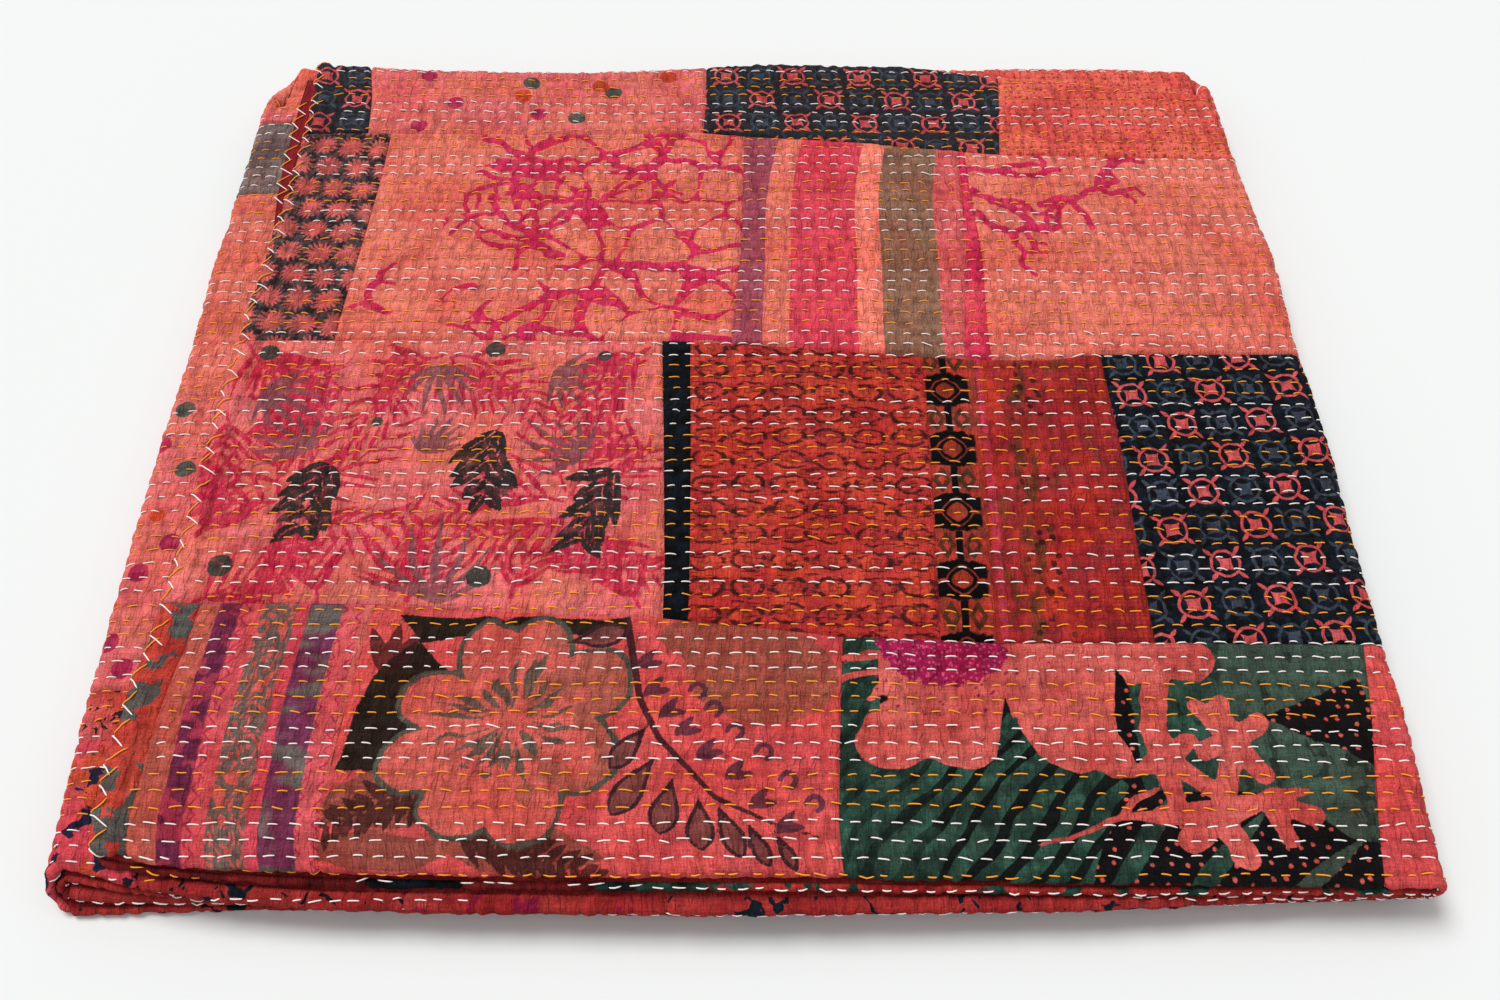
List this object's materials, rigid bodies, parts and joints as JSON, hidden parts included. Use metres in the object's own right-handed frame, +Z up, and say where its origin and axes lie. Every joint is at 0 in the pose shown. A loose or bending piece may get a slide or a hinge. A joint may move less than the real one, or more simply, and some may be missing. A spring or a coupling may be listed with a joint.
{
  "type": "folded kantha quilt",
  "caption": "Hand-stitched patchwork kantha quilt, folded flat into a low rectangular stack of its own layers.",
  "frame": {"origin": "middle of the base of the folded stack, on the surface it lies on", "axes": "+X to the right along the stitched rows, +Y from the front edge to the back edge, +Z up through the layers"},
  "size_m": [0.816, 0.7368, 0.0382],
  "materials": {
    "quilted_cotton": "matte printed cotton patches in corals, reds, navy and green, with rows of white and golden running stitches"
  },
  "bodies": {
    "root": {"quilt": "quilted_cotton"}
  },
  "joints": []
}
